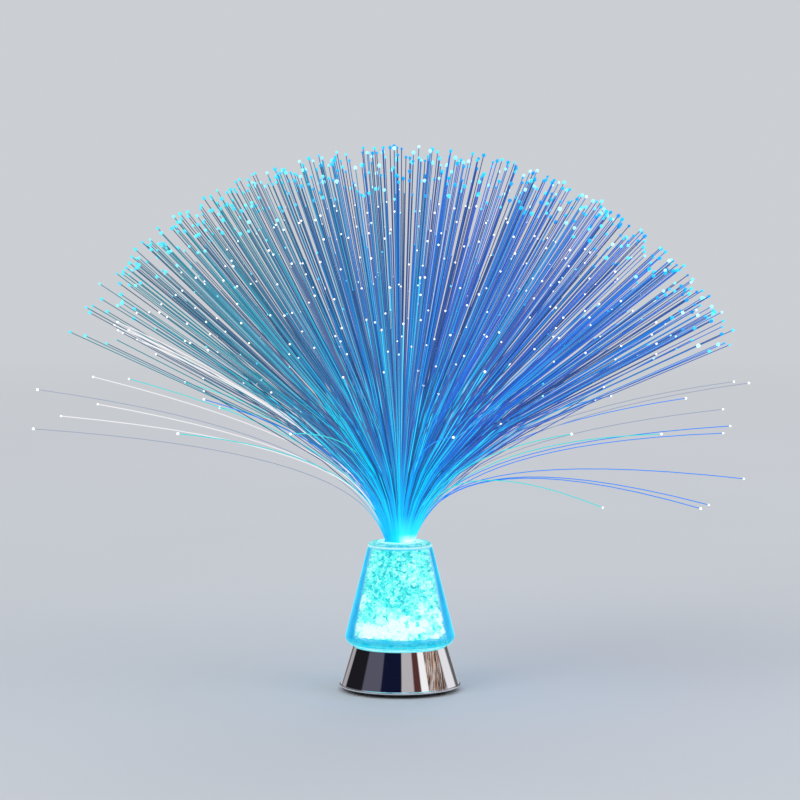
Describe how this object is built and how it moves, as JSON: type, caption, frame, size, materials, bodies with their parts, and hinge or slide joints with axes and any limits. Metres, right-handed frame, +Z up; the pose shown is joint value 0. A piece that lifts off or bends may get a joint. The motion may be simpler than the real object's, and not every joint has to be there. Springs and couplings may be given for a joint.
{
  "type": "fiber optic lamp",
  "caption": "Battery table lamp: a chromed base under a clear cone of lit crystal chips, with a lift-out plume of light-guiding strands.",
  "frame": {"origin": "middle of the base on the surface the lamp stands on", "axes": "+Z up along the lamp's axis, +X to the right and +Y away from a viewer in front"},
  "size_m": [0.4411, 0.4211, 0.3389],
  "materials": {
    "chrome": "mirror chrome plating on plastic",
    "black_plastic": "fine moulded black",
    "rubber": "matt black",
    "steel": "bright zinc plated",
    "nickel": "nickel plated spring steel",
    "cell_wrap": "plain dark sleeve",
    "circuit_board": "green laminate",
    "red_wire": "red insulation",
    "black_wire": "black insulation",
    "clear_acrylic": "clear, lit cyan from within",
    "lit_crystal": "clear chips, lit cyan to white",
    "light_lens": "clear lens, lit",
    "frosted_sleeve": "frosted",
    "fused_bundle": "clear fused ends, lit",
    "lit_strand": "clear light guide, lit cyan to blue"
  },
  "bodies": {
    "base": {"base_shell": "chrome", "base_tray": "black_plastic", "battery_1": "cell_wrap", "battery_2": "cell_wrap", "battery_3": "cell_wrap", "positive_contact": "nickel", "negative_contact": "nickel", "contact_bridge_1": "nickel", "contact_bridge_2": "nickel", "switch_body": "black_plastic", "light_board": "circuit_board", "light_1": "light_lens", "light_2": "light_lens", "light_3": "light_lens", "board_screw_1": "steel", "board_screw_2": "steel", "base_screw_1": "steel", "base_screw_2": "steel", "base_screw_3": "steel", "foot_pad_1": "rubber", "foot_pad_2": "rubber", "foot_pad_3": "rubber", "foot_pad_4": "rubber", "red_lead": "red_wire", "black_lead": "black_wire", "crystal_cone": "clear_acrylic", "cone_floor": "clear_acrylic", "guide_tube": "clear_acrylic", "collar_ring": "clear_acrylic", "crystal_chips": "lit_crystal"},
    "door": {"battery_door": "black_plastic"},
    "switch": {"switch_knob": "black_plastic"},
    "plume": {"plume_ferrule": "frosted_sleeve", "bundle_tail": "fused_bundle", "strands_inner": "lit_strand", "strands_middle": "lit_strand", "strands_outer": "lit_strand"}
  },
  "joints": [
    {"name": "plume_lift", "type": "slide", "parent": "base", "child": "plume", "axis": [0, 0, 1], "range_m": [0, 0.06]},
    {"name": "switch_slide", "type": "slide", "parent": "base", "child": "switch", "axis": [0, -1, 0], "range_m": [0, 0.004]},
    {"name": "door_hinge", "type": "hinge", "parent": "base", "child": "door", "pos_m": [0, -0.0256, 0.0029], "axis": [-1, 0, 0], "range_deg": [0, 80]}
  ]
}
